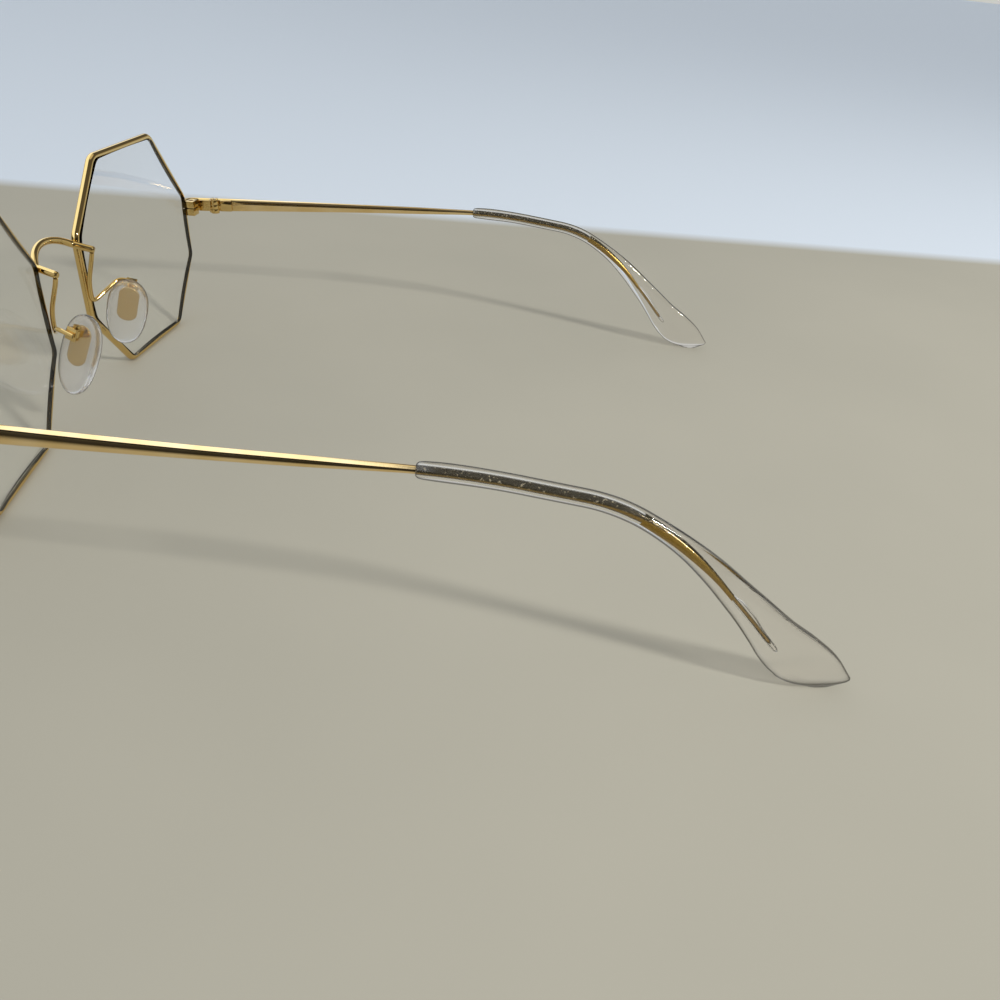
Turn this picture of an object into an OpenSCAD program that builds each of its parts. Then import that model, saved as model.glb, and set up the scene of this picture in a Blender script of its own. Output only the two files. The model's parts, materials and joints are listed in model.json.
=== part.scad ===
/* [Lenses and rims] */
// Width of a lens, without its bevel
lens_w = 50; // [46:0.5:54]
// Height of a lens, without its bevel
lens_h = 46.4; // [42:0.2:50]
// Distance between the lenses at the nose
bridge_w = 20; // [17:0.5:23]
// Length of the top edge of the octagon, between its sharp corners
top_edge = 25.4; // [20:0.2:30]
// Shift of the top edge towards the nose
top_shift = 0.8; // [-2:0.1:2]
// Length of the bottom edge of the octagon
bottom_edge = 25; // [20:0.2:30]
// Shift of the bottom edge away from the nose
bottom_shift = 0.5; // [-2:0.1:2]
// Length of the edge beside the nose
nose_edge = 17.8; // [14:0.2:22]
// Height of the middle of the edge beside the nose
nose_edge_z = 0.4; // [-2:0.1:2]
// Length of the edge beside the temple
side_edge = 15; // [11:0.2:19]
// Height of the middle of the edge beside the temple
side_edge_z = -1.1; // [-2:0.1:2]
// Radius that rounds the eight corners of a lens
corner_r = 2.6; // [1.5:0.1:5]
// Thickness of a lens
lens_t = 1.9; // [1.4:0.1:2.4]
// Radius of the front surface of a lens
lens_curve_r = 150; // [110:5:250]
// Turn of each rim about the vertical, so that the front follows the face
wrap = 6; // [0:0.5:10]
// Depth of the rim wire from front to back
rim_d = 1.8; // [1.5:0.1:2.2]
// Thickness of the rim wire around the lens
rim_t = 1.15; // [1:0.05:1.5]
// Height of the bevel on the lens edge
bevel_h = 0.45; // [0.3:0.05:0.55]

/* [Bridge] */
// Thickness of the bridge wire
bridge_d = 1.5; // [1.2:0.1:1.9]
// Rise of the arch above its feet
bridge_rise = 3.2; // [2:0.2:6]
// Lean of the arch to the front
bridge_lean = 41; // [20:1:60]
// Height of the arch's feet above the middle of the lenses
bridge_z = 8.5; // [6:0.1:9]
// Length of the wire that runs back from each foot
stub_len = 4.6; // [3.5:0.1:6]

/* [Temples] */
// Length of a temple from its joint to the end of the tip, along the curve
temple_len = 150; // [138:1:160]
// Height of the temples above the middle of the lenses
temple_z = 3.4; // [1:0.1:4.2]
// Height of a temple at the hinge
temple_h = 3.3; // [3:0.1:4]
// Thickness of a temple at the hinge
temple_t = 1.5; // [1.3:0.1:1.9]
// Thickness of the temple wire where it enters the tip
wire_d = 1.15; // [1:0.05:1.4]
// Turn of the temples away from straight back
splay = 5.6; // [2:0.2:8]
// Rise of a temple's straight part, in degrees
temple_rise = 0.3; // [-1:0.1:1]
// Radius of a temple's bow, seen from above
bow_r = 1190; // [800:10:2500]
// First, slight bend down, in degrees
first_bend = 9; // [4:0.5:12]
// Second bend, over the ear, in degrees
ear_bend = 21.5; // [16:0.5:30]
// Last bend, behind the ear, in degrees
last_bend = 19; // [10:0.5:24]
// Distance that a temple stands out from its rim
reach_out = 4.5; // [4:0.1:6]
// Distance from the middle of the rim back to the joint
reach_back = 7.3; // [6.8:0.1:9]

/* [Temple tips] */
// Length of a tip, along the curve
tip_len = 80.5; // [72:0.5:86]
// Length of the wire inside a tip
core_len = 64.5; // [56:0.5:66]
// Thickness of a tip, from side to side
tip_t = 2.8; // [2.4:0.1:3.4]
// Height of a tip in its round first part
tip_h = 2.85; // [2.4:0.05:3.4]
// Height of a tip where it is widest
tip_end_h = 9.2; // [7:0.2:11]

/* [Hinges] */
// Diameter of the hinge barrels
barrel_d = 2.2; // [2:0.1:2.4]
// Diameter of the hinge screw
hinge_screw_d = 1.2; // [1:0.05:1.3]
// Height of the hinge barrels together
barrel_h = 3.3; // [3:0.1:3.8]
// Length of a hinge leaf on its temple or end piece
leaf_len = 3; // [2.4:0.1:3.4]

/* [Nose pads] */
// Length of a nose pad
pad_len = 17; // [13:0.5:19]
// Width of a nose pad
pad_w = 8.6; // [7:0.2:9.4]
// Thickness of a nose pad
pad_t = 3; // [2.6:0.1:3.6]
// Distance from the middle of the frame to a pad's middle
pad_x = 12.4; // [10.5:0.1:13]
// Distance from the rims back to a pad's middle
pad_y = 4.4; // [4.1:0.1:6]
// Drop from the middle of the lenses to a pad's middle
pad_drop = 7.8; // [6:0.1:10]
// Lean of a pad's lower end away from the nose
pad_frontal = 10; // [4:1:16]
// Lean of a pad's lower end to the front
pad_pitch = 20; // [12:1:23]
// Turn of a pad's back edge away from the nose
pad_splay = 16; // [8:1:24]
// Thickness of the pad arm wire
arm_d = 0.95; // [0.8:0.05:1.2]
// Diameter of the pad screw
pad_screw_d = 0.8; // [0.7:0.05:1]

/* [Hidden] */

gold = "goldenrod";
crystal = [0.86, 0.9, 0.93, 0.55];
clear = [0.8, 0.9, 0.95, 0.35];

// Clearance of pieces that are brazed or pushed onto each other
seat = 0.02;
// Radial clearance of a screw in a hole that turns on it
running = 0.04;
// Gap between parts that pass each other in a hinge
hinge_gap = 0.05;
// Depth by which two solids of one piece run into each other
bite = 0.1;
// Number of points round a wire section
sides = 14;

// Octagon of a lens in its own plane, seen from the front of the left lens: outwards, up
octagon = [
    [top_edge / 2 - top_shift, lens_h / 2],
    [-top_edge / 2 - top_shift, lens_h / 2],
    [-lens_w / 2, nose_edge_z + nose_edge / 2],
    [-lens_w / 2, nose_edge_z - nose_edge / 2],
    [-bottom_edge / 2 + bottom_shift, -lens_h / 2],
    [bottom_edge / 2 + bottom_shift, -lens_h / 2],
    [lens_w / 2, side_edge_z - side_edge / 2],
    [lens_w / 2, side_edge_z + side_edge / 2]
];
corners = len(octagon);
function corner(i) = octagon[(i + corners) % corners];
function edge_dir(i) = let (d = corner(i + 1) - corner(i)) d / norm(d);
function edge_angle(i) = atan2(edge_dir(i).y, edge_dir(i).x);
function turn(i) = (edge_angle(i) - edge_angle(i - 1) + 720) % 360;
function trim(i) = corner_r * tan(turn(i) / 2);
function arc_start(i) = corner(i) - edge_dir(i - 1) * trim(i);
function arc_end(i) = corner(i) + edge_dir(i) * trim(i);
function arc_centre(i) = arc_end(i) + [-edge_dir(i).y, edge_dir(i).x] * corner_r;

// The outline of the lens with its corners as short arcs, moved out by a distance
outline_steps = 3;
function outline(out) = [
    for (i = [0:corners - 1]) for (k = [0:outline_steps])
        let (a = edge_angle(i - 1) - 90 + turn(i) * k / outline_steps)
        arc_centre(i) + (corner_r + out) * [cos(a), sin(a)]
];

// Section of the rim wire: outwards from the lens edge, and from back to front
rim_in = 0.06;
rim_out = rim_in + rim_t;
groove_w = 1.1;
groove_h = bevel_h + 0.1;
rim_flat = 0.3 * rim_t;
rim_edge = 0.15;
rim_section = concat(
    [[rim_in, groove_w / 2], [rim_in + groove_h, 0], [rim_in, -groove_w / 2]],
    [[rim_in, rim_edge - rim_d / 2]],
    [for (a = [-90:30:90]) [rim_in + rim_flat + (rim_t - rim_flat) * cos(a), rim_d / 2 * sin(a)]],
    [[rim_in, rim_d / 2 - rim_edge]]
);

// A point of the left eye's own frame, outwards, back and up, in the frame of the whole front
eye_x = bridge_w / 2 + lens_w / 2;
function eye_point(u, b, v) = [eye_x + u * cos(wrap) - b * sin(wrap), u * sin(wrap) + b * cos(wrap), v];

// Points round a flat oval, across and up, with its squareness as a power
function oval(w, h, power) = [
    for (i = [0:sides - 1]) let (a = 360 * i / sides, c = cos(a), s = sin(a))
        [w / 2 * sign(c) * pow(abs(c), 2 / power), h / 2 * sign(s) * pow(abs(s), 2 / power)]
];

// A path through points, where a curve that starts a trim's length away rounds off each inner point
function rounded(pts, trims, steps) = concat(
    [pts[0]],
    [for (i = [1:len(pts) - 2]) let (
        a = pts[i] + (pts[i - 1] - pts[i]) / norm(pts[i - 1] - pts[i]) * trims[i - 1],
        b = pts[i] + (pts[i + 1] - pts[i]) / norm(pts[i + 1] - pts[i]) * trims[i - 1]
    ) for (k = [0:steps]) let (t = k / steps) a * (1 - t) * (1 - t) + pts[i] * 2 * t * (1 - t) + b * t * t],
    [pts[len(pts) - 1]]
);
function unit(v) = v / norm(v);
function path_dir(path, i) = let (n = len(path) - 1)
    unit(path[min(i + 1, n)] - path[max(i - 1, 0)]);

// A ring of points about a path's point: across is level, and up is square to the path
function ring(centre, dir, section) = let (
    across = unit(cross(dir, [0, 0, 1])), up = cross(across, dir)
) [for (p = section) centre - across * p.x + up * p.y];

// A ring for a path that may run upright: one side stays near a chosen direction
function ring_by(centre, dir, hint, section) = let (
    up = unit(hint - dir * (hint * dir)), across = cross(dir, up)
) [for (p = section) centre - across * p.x + up * p.y];

// The closed solid through a list of rings, with flat ends
module loft(rings) {
    n = len(rings[0]);
    last = len(rings) - 1;
    faces = concat(
        [[for (j = [0:n - 1]) j]],
        [for (i = [0:last - 1]) for (j = [0:n - 1]) let (k = (j + 1) % n)
            [i * n + j, (i + 1) * n + j, i * n + k]],
        [for (i = [0:last - 1]) for (j = [0:n - 1]) let (k = (j + 1) % n)
            [i * n + k, (i + 1) * n + j, (i + 1) * n + k]],
        [[for (j = [n - 1:-1:0]) last * n + j]]
    );
    polyhedron(points = [for (r = rings) for (p = r) p], faces = faces, convexity = 6);
}

// The closed solid through rings that come back to the first one
module closed_loft(rings) {
    n = len(rings[0]);
    m = len(rings);
    faces = [for (i = [0:m - 1]) for (j = [0:n - 1]) let (k = (j + 1) % n, r = (i + 1) % m)
        for (f = [[i * n + j, i * n + k, r * n + j], [i * n + k, r * n + k, r * n + j]]) f];
    polyhedron(points = [for (r = rings) for (p = r) p], faces = faces, convexity = 6);
}

// The side view of a temple, as stretches of [length, bend down in degrees], from the joint
first_run = 19;
level_run = 8.5;
ear_run = 10;
last_run = 17;
end_run = 29.5;
stretches = [
    [temple_len - first_run - level_run - ear_run - last_run - end_run, 0],
    [first_run, first_bend], [level_run, 0], [ear_run, ear_bend], [last_run, last_bend], [end_run, 0]
];
function side_view(s, i = 0, y = 0, z = 0, a = temple_rise) = let (
    whole = stretches[i][0],
    d = i == len(stretches) - 1 ? s : min(s, whole),
    t = stretches[i][1] * d / whole,
    chord = abs(t) < 0.01 ? d : d * sin(t / 2) / (t / 2 * PI / 180),
    y2 = y + chord * cos(a - t / 2),
    z2 = z + chord * sin(a - t / 2)
) s > d ? side_view(s - d, i + 1, y2, z2, a - t) : [y2, z2, a - t];

// The temple's middle line in the hinge's frame: outwards, back along the temple, up
line_x = barrel_d / 2 + bite + temple_t / 2;
function line(s) = let (p = side_view(s)) [line_x - p.x * p.x / (2 * bow_r), p.x, p.y];
function heading(s) = let (p = side_view(s)) [-line(s).y / bow_r, cos(p.z), sin(p.z)];
function station(s, w, h, power, shift = 0, slant = 0) = let (
    dir = unit(heading(s)), across = unit(cross(dir, [0, 0, 1])), up = cross(across, dir),
    tilted = up * cos(slant) + dir * sin(slant), middle = line(s) + up * shift
) [for (p = oval(w, h, power)) middle - across * p.x + tilted * p.y];

// Stations of the temple wire: distance from the joint, thickness, height and squareness
tip_start = temple_len - tip_len;
core_end = tip_start + core_len;
tail_len = 12;
taper_len = 10;
core_wide = core_end - tail_len - taper_len;
wire_h = wire_d + 0.15;
temple_stations = [
    [hinge_gap, temple_t, temple_h, 3], [5, temple_t, 0.97 * temple_h, 2.8],
    [tip_start * 0.2, 0.96 * temple_t, 0.88 * temple_h, 2.6],
    [tip_start * 0.34, 0.93 * temple_t, 0.8 * temple_h, 2.4],
    [tip_start * 0.55, 0.88 * temple_t, 0.665 * temple_h, 2.3],
    [tip_start * 0.76, 0.82 * temple_t, 0.56 * temple_h, 2.2],
    [tip_start - 4, wire_d, wire_h + 0.1, 2], [tip_start, wire_d, wire_h, 2]
];
core_steps = 9;
core_stations = [
    for (k = [1:core_steps]) let (s = tip_start + (core_wide - tip_start) * k / core_steps)
        [s, wire_d, wire_h, 2]
];
// The wire's last stretch, which tapers to a thin tail with a rounded end
tail_steps = 3;
tail_t = 0.75;
tail_h = 0.85;
tail_start = core_end - tail_len;
tail_stations = [
    for (k = [0:tail_steps]) let (s = tail_start + (core_end - 0.6 - tail_start) * k / tail_steps)
        [s, tail_t, tail_h, 2]
];
wire_rows = concat(temple_stations, core_stations, tail_stations, [[core_end, tail_t / 2, tail_h / 2, 2]]);
wire_rings = [for (r = wire_rows) station(r[0], r[1], r[2], r[3])];

// Stations of the tip: distance from its front, thickness, height, shift of the middle, slant, squareness
end_t = tip_t - 0.4;
tip_rows = [
    [0, 0.78 * tip_t, 0.72 * tip_h, 0, 0, 2],
    [0.35, 0.88 * tip_t, 0.86 * tip_h, 0, 0, 2],
    [1.5, 0.97 * tip_t, 0.97 * tip_h, 0, 0, 2],
    [5, tip_t, 1.04 * tip_h, 0, 0, 2],
    [12, tip_t, tip_h, 0, 0, 2],
    [19, tip_t, tip_h, 0, 0, 2],
    [25, tip_t, tip_h, 0, 0, 2],
    [30, tip_t, 1.03 * tip_h, 0, 0, 2],
    [34, tip_t, 1.03 * tip_h, 0, 0, 2],
    [37.5, tip_t, 1.08 * tip_h, 0.03, 0, 2.1],
    [41, tip_t, 0.37 * tip_end_h, 0.1, 0, 2.2],
    [46.5, tip_t, 0.46 * tip_end_h, 0.25, 0, 2.4],
    [52, tip_t, 0.555 * tip_end_h, 0.55, 2, 2.7],
    [57.5, tip_t, 0.67 * tip_end_h, 0.93, 6, 3.1],
    [62.8, tip_t, 0.83 * tip_end_h, 1.18, 14, 3.5],
    [67.2, 0.98 * tip_t, 1.08 * tip_end_h, 1.62, 24, 3.7],
    [71.3, end_t, 1.29 * tip_end_h, 1.93, 34, 3.7],
    [74.7, end_t, 1.37 * tip_end_h, 1.85, 43, 3.5],
    [76.2, 0.8 * end_t, 1.11 * tip_end_h, 1.98, 40, 3.2],
    [77.1, 0.55 * end_t, 0.78 * tip_end_h, 2.08, 38, 2.8],
    [77.65, 0.25 * end_t, 0.39 * tip_end_h, 1.55, 40, 2.4]
];
tip_scale = tip_len / 80.5;
tip_rings = [
    for (r = tip_rows) station(tip_start + r[0] * tip_scale, r[1], r[2], r[5], r[3] * tip_scale, r[4])
];
// The hole for the wire, from its blind end to the tip's front: a little wider and longer than the wire
play = 0.16;
hollow = 2;
hole_rows = concat(
    [[core_end + hollow + 0.5, tail_t / 2, tail_h / 2, 2]],
    [[core_end + hollow, tail_t + play, tail_h + play, 2]],
    [for (k = [tail_steps:-1:0]) let (r = tail_stations[k]) [r[0], r[1] + play, r[2] + play, 2]],
    [for (k = [core_steps:-1:1]) let (r = core_stations[k - 1]) [r[0], r[1] + play, r[2] + play, 2]],
    [[tip_start, wire_d + play, wire_h + play, 2]]
);
hole_rings = [for (r = hole_rows) station(r[0], r[1], r[2], r[3])];

// The hinge's place in the frame of the whole front
rim_side = eye_point(lens_w / 2 + rim_out, 0, temple_z);
joint = [rim_side.x + reach_out, rim_side.y + reach_back, temple_z];
hinge_pos = joint - line_x * [cos(splay), -sin(splay), 0];
function from_hinge(p) = hinge_pos + [
    p.x * cos(splay) + p.y * sin(splay), -p.x * sin(splay) + p.y * cos(splay), p.z
];

// The bridge wire, from the left stub's end over the arch to the right one
stub_dir = unit([0.12, 0.96, -0.26]);
stub_turn = wrap + atan2(stub_dir.x, stub_dir.y);
rim_side_r = norm([(rim_t - rim_flat) * cos(stub_turn), rim_d / 2 * sin(stub_turn)]);
foot_out = rim_in + rim_flat + (rim_side_r + bridge_d / 2 + seat) / cos(stub_turn);
foot = eye_point(-lens_w / 2 - foot_out, 0, bridge_z);
stub_end = foot + stub_dir * stub_len;
arch_r = (foot.x * foot.x + bridge_rise * bridge_rise) / (2 * bridge_rise);
arch_half = asin(foot.x / arch_r);
arch_dir = [0, -sin(bridge_lean), cos(bridge_lean)];
arch = [
    for (k = [-1:0.125:1]) let (a = k * arch_half)
        [arch_r * sin(a), foot.y, bridge_z] + arch_dir * (arch_r * (cos(a) - cos(arch_half)))
];
function flip(p) = [-p.x, p.y, p.z];
bridge_path = concat([flip(stub_end)], arch, [stub_end]);

// The pad's own frame: away from the nose, back, up
pad_middle = [pad_x, pad_y, -pad_drop];
function turn_x(p, a) = [p.x, p.y * cos(a) - p.z * sin(a), p.y * sin(a) + p.z * cos(a)];
function turn_y(p, a) = [p.x * cos(a) + p.z * sin(a), p.y, -p.x * sin(a) + p.z * cos(a)];
function turn_z(p, a) = [p.x * cos(a) - p.y * sin(a), p.x * sin(a) + p.y * cos(a), p.z];
function from_pad(p) = pad_middle + turn_x(turn_y(turn_z(p, -pad_splay), -pad_frontal), -pad_pitch);

// Pad screw and box
box_z = 5.1;
boss_r = pad_screw_d / 2 + 0.45;
axis_x = pad_t / 2 + boss_r + 0.55;
boss_h = 1.5;
cheek_t = 0.45;
cheek_r = boss_r;
box_half = boss_h / 2 + hinge_gap + cheek_t;
wall_x = axis_x + boss_r + 0.2;
wall_t = 0.45;
wall_w = 2.2;

// The pad arm, from the bridge's stub down behind the rim and back to the box
rim_back = eye_point(-lens_w / 2 - 0.75 * rim_out, rim_d / 2 + arm_d / 2 + seat, 0);
arm_x = wall_x + wall_t + arm_d / 2 + seat;
stub_down = unit(cross(cross(stub_dir, [0, 0, 1]), stub_dir)) * -1;
arm_drop = 1.3;
arm_low = 4.6;
arm_start = stub_end - stub_dir * arm_d / 2 + stub_down * (bridge_d / 2 + seat);
arm_path = rounded(
    [
        arm_start,
        arm_start + stub_down * arm_drop,
        [rim_back.x - bite, rim_back.y, -0.1 * arm_low],
        [rim_back.x, rim_back.y, -arm_low],
        from_pad([arm_x, -wall_w / 2 - 1.6, box_z]),
        from_pad([arm_x, wall_w / 2 - 0.2, box_z])
    ],
    [0.8, 2.4, 1.4, 1.2], 4
);

// How the frame stands: on the lower edges of the rims and on the ends of the tips
tip_points = [for (r = tip_rings) for (p = r) from_hinge(p)];
rim_low = [
    for (i = [4, 5]) for (p = [arc_start(i), arc_end(i)]) eye_point(p.x, 0, -lens_h / 2 - rim_out)
];
function low(points, a) = min([for (p = points) p.y * sin(a) + p.z * cos(a)]);
function find_lean(lo, hi, n) = let (mid = (lo + hi) / 2) n == 0 ? mid
    : low(tip_points, mid) > low(rim_low, mid) ? find_lean(lo, mid, n - 1) : find_lean(mid, hi, n - 1);
lean = find_lean(-6, 12, 22);
lift = -low(rim_low, lean);
front_y = min([for (p = arch) p.y * cos(lean) - p.z * sin(lean)]) - bridge_d / 2;
back_y = max([for (p = tip_points) p.y * cos(lean) - p.z * sin(lean)]);
echo(lean = lean, lift = lift, front_y = front_y, back_y = back_y, hinge_pos = hinge_pos);

// Carries the left half's pieces into the frame of the whole part
module left() {
    translate([0, -(front_y + back_y) / 2, lift]) rotate([lean, 0, 0]) children();
}

module right() {
    translate([0, -(front_y + back_y) / 2, lift]) rotate([lean, 0, 0]) mirror([1, 0, 0]) children();
}

// The eye's own plane, with x outwards, y up and z to the front
module eye() {
    translate([eye_x, 0, 0]) rotate([0, 0, wrap]) rotate([90, 0, 0]) children();
}

module at_hinge() {
    translate(hinge_pos) rotate([0, 0, -splay]) children();
}

module at_pad() {
    translate(pad_middle) rotate([-pad_pitch, 0, 0]) rotate([0, -pad_frontal, 0])
        rotate([0, 0, -pad_splay]) children();
}

// Rim wire with the groove for the lens, split beside the temple by the closing block
slit = 0.2;
corner_steps = 5;
rim_rings = [
    for (i = [0:corners - 1]) for (k = [0:corner_steps])
        let (a = edge_angle(i - 1) - 90 + turn(i) * k / corner_steps)
        [for (p = rim_section) concat(arc_centre(i) + (corner_r + p.x) * [cos(a), sin(a)], p.y)]
];
module rim() {
    color(gold) eye() difference() {
        closed_loft(rim_rings);
        translate([lens_w / 2 - 1, temple_z - slit / 2, -rim_d]) cube([rim_t + 2, slit, 2 * rim_d]);
    }
}

// Lens with a domed front, a hollow back and a bevel that sits in the rim's groove
edge_reach = lens_w / 2;
dome = lens_curve_r - sqrt(lens_curve_r * lens_curve_r - edge_reach * edge_reach);
front_z = dome + lens_t / 2;
bevel_z = groove_w / 2 - 0.02;
edge_land = 0.05;
function dome_z(p, r) = front_z - lens_curve_r + sqrt(r * r - p * p);
function domed(share, r) = [
    for (p = outline(0)) let (q = p * share) [q.x, q.y, dome_z(share < 0.2 ? [0, 0] : q, r)]
];
spread = [0.1, 0.35, 0.6, 0.82, 1];
lens_rings = concat(
    [for (i = [0:len(spread) - 1]) domed(spread[i], lens_curve_r - lens_t)],
    [[for (p = outline(0)) [p.x, p.y, max(-bevel_z, dome_z(p, lens_curve_r - lens_t) + edge_land)]]],
    [[for (p = outline(bevel_h)) [p.x, p.y, 0]]],
    [[for (p = outline(0)) [p.x, p.y, min(bevel_z, dome_z(p, lens_curve_r) - edge_land)]]],
    [for (i = [len(spread) - 1:-1:0]) domed(spread[i], lens_curve_r)]
);
module lens() {
    color(clear) eye() loft(lens_rings);
}

module bridge() {
    color(gold) loft([
        for (i = [0:len(bridge_path) - 1])
            ring_by(bridge_path[i], path_dir(bridge_path, i), [0, 0.3, 1], oval(bridge_d, bridge_d, 2))
    ]);
}

// Closing block behind the rim and the end piece, in two halves that a screw draws together
block_w = 3;
block_d = 2.2;
block_h = 1.75;
block_u = lens_w / 2 + rim_in + 0.25;
block_b = rim_d / 2 + seat;
rim_screw_d = 1;
screw_head_d = 1.65;
head_room = 0.6;
screw_at = [block_w / 2 + bite, block_d / 2];
module at_block() {
    eye() translate([block_u, temple_z, -block_b]) rotate([-90, 0, 0]) children();
}

module block_half(bore, head) {
    difference() {
        translate([0, 0, slit / 2]) cube([block_w, block_d, block_h]);
        translate([screw_at.x, screw_at.y, -1]) cylinder(d = bore, h = block_h + 2, $fn = 32);
        if (head > 0) translate([screw_at.x, screw_at.y, slit / 2 + block_h - head_room])
            cylinder(d = head, h = 1, $fn = 32);
    }
}

module closing_block_upper() {
    color(gold) at_block() block_half(rim_screw_d + 2 * running, 0);
}

module closing_block_lower() {
    color(gold) at_block() mirror([0, 0, 1]) block_half(rim_screw_d + 2 * running, screw_head_d + bite);
}

// A slotted screw with its axis along z and its head on top, from z = 0 down
slot_w = 0.24;
slot_h = 0.25;
module screw(d, head_d, head_h, reach) {
    difference() {
        union() {
            cylinder(d = head_d, h = head_h, $fn = 32);
            translate([0, 0, -reach]) cylinder(d = d, h = reach + bite, $fn = 32);
        }
        translate([-head_d, -slot_w / 2, head_h - slot_h]) cube([2 * head_d, slot_w, 1]);
    }
}

module rim_screw() {
    color(gold) at_block() translate([screw_at.x, screw_at.y, head_room - running - slit / 2 - block_h])
        mirror([0, 0, 1]) screw(rim_screw_d, screw_head_d, 0.5, 2 * block_h + slit - head_room - bite);
}

// End piece: a bar that leaves the rim outwards and turns back to the joint
end_h = temple_h + 0.5;
end_d = rim_d - bite;
end_bend = 2.9;
end_path = rounded(
    [
        eye_point(lens_w / 2 + rim_out + seat, 0, temple_z),
        from_hinge([line_x, -reach_back - bite, 0]),
        from_hinge([line_x, -hinge_gap, 0])
    ],
    [end_bend], 8
);
module endpiece() {
    n = len(end_path) - 1;
    color(gold) loft([
        for (i = [0:n]) let (t = i / n)
            ring(end_path[i], i == n ? unit(from_hinge([0, 1, 0]) - hinge_pos) : path_dir(end_path, i),
                oval(end_d + (temple_t - end_d) * t, end_h + (temple_h - end_h) * t, 4 - t))
    ]);
}

// Hinge barrels and leaves, in the hinge's frame
leaf_x = barrel_d / 2 + bite - seat;
leaf_t = 0.65;
leaf_h = barrel_h - 0.5;
knuckle_h = barrel_h / 3;
leaf_start = barrel_d / 2 + 0.15;
hinge_head_h = 0.45;
module knuckle(z0, h, way) {
    translate([0, 0, z0]) difference() {
        union() {
            cylinder(d = barrel_d, h = h, $fn = 48);
            translate([0, way > 0 ? 0 : -leaf_start - 2 * bite, 0]) cube([leaf_x, leaf_start + 2 * bite, h]);
        }
        translate([0, 0, -1]) cylinder(d = hinge_screw_d + 2 * running, h = h + 2, $fn = 48);
    }
}

module leaf(way) {
    translate([leaf_x - leaf_t, way > 0 ? leaf_start : -leaf_start - leaf_len, -leaf_h / 2])
        cube([leaf_t, leaf_len, leaf_h]);
}

module front_hinge() {
    color(gold) at_hinge() union() {
        knuckle(-barrel_h / 2, knuckle_h - hinge_gap, -1);
        knuckle(barrel_h / 2 - knuckle_h + hinge_gap, knuckle_h - hinge_gap, -1);
        leaf(-1);
    }
}

module temple_hinge() {
    color(gold) at_hinge() union() {
        knuckle(-knuckle_h / 2, knuckle_h, 1);
        leaf(1);
    }
}

module hinge_screw() {
    color(gold) at_hinge() translate([0, 0, barrel_h / 2 + seat])
        screw(hinge_screw_d, barrel_d - 0.3, hinge_head_h, barrel_h + bite);
}

module temple() {
    color(gold) at_hinge() loft(wire_rings);
}

// Clear tip, with a blind hole for the wire
module temple_tip() {
    color(crystal) at_hinge() loft(concat(hole_rings, tip_rings));
}

module pad_arm() {
    n = len(arm_path) - 1;
    section = [for (a = [0:36:359]) arm_d / 2 * [cos(a), sin(a)]];
    color(gold) loft([for (i = [0:n]) ring_by(arm_path[i], path_dir(arm_path, i), [1, 0, 0], section)]);
}

// Box with two cheeks that the pad's boss sits between
module pad_box() {
    color(gold) at_pad() translate([axis_x, 0, box_z]) difference() {
        union() {
            for (z = [-box_half, box_half - cheek_t]) translate([0, 0, z]) {
                cylinder(r = cheek_r, h = cheek_t, $fn = 32);
                translate([0, -cheek_r, 0]) cube([wall_x - axis_x + bite, 2 * cheek_r, cheek_t]);
            }
            translate([wall_x - axis_x, -wall_w / 2, -box_half]) cube([wall_t, wall_w, 2 * box_half]);
        }
        translate([0, 0, -3]) cylinder(d = pad_screw_d + 2 * running, h = 6, $fn = 32);
    }
}

module pad_screw() {
    color(gold) at_pad() translate([axis_x, 0, box_z + box_half + seat])
        screw(pad_screw_d, 2 * cheek_r - 0.2, hinge_head_h, 2 * box_half + bite);
}

// Metal plate in the pad's back, with the boss that turns on the pad screw
insert_w = 4;
insert_len = 8.6;
insert_z = 2.2;
insert_t = 0.6;
insert_x = 0.4;
window = 0.5;
module plate(from, width, thick) {
    straight = insert_len - insert_w;
    translate([from, 0, insert_z]) rotate([0, 90, 0]) linear_extrude(thick) union() {
        square([straight, width], center = true);
        for (s = [-1, 1]) translate([s * straight / 2, 0]) circle(d = width, $fn = 48);
    }
}

neck_w = 1.1;
module pad_insert() {
    color(gold) at_pad() difference() {
        union() {
            plate(insert_x, insert_w, insert_t);
            translate([axis_x, 0, box_z - boss_h / 2]) cylinder(r = boss_r, h = boss_h, $fn = 32);
            translate([insert_x + bite, -neck_w / 2, box_z - boss_h / 2])
                cube([axis_x - insert_x - bite, neck_w, boss_h]);
        }
        translate([axis_x, 0, box_z - 3]) cylinder(d = pad_screw_d + 2 * running, h = 6, $fn = 32);
    }
}

// Soft clear pad: a drop-shaped cushion with a pocket for the insert
pad_rings = [
    for (k = [-1, -0.97, -0.88, -0.74, -0.55, -0.33, -0.1, 0.12, 0.35, 0.57, 0.76, 0.9, 0.98, 1]) let (
        round_off = max(0.12, pow(1 - pow(abs(k), 2.4), 1 / 2.4)),
        w = pad_w * round_off * (1 + 0.06 * k),
        t = pad_t * (0.35 + 0.65 * round_off)
    ) [for (p = oval(t, w, 2.2)) [p.x, p.y, k * pad_len / 2]]
];
module nose_pad() {
    color(crystal) at_pad() difference() {
        loft(pad_rings);
        union() {
            plate(insert_x - seat, insert_w + 2 * seat, insert_t + 2 * seat);
            plate(insert_x + insert_t / 2, insert_w - 2 * window, pad_t);
        }
    }
}

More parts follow.
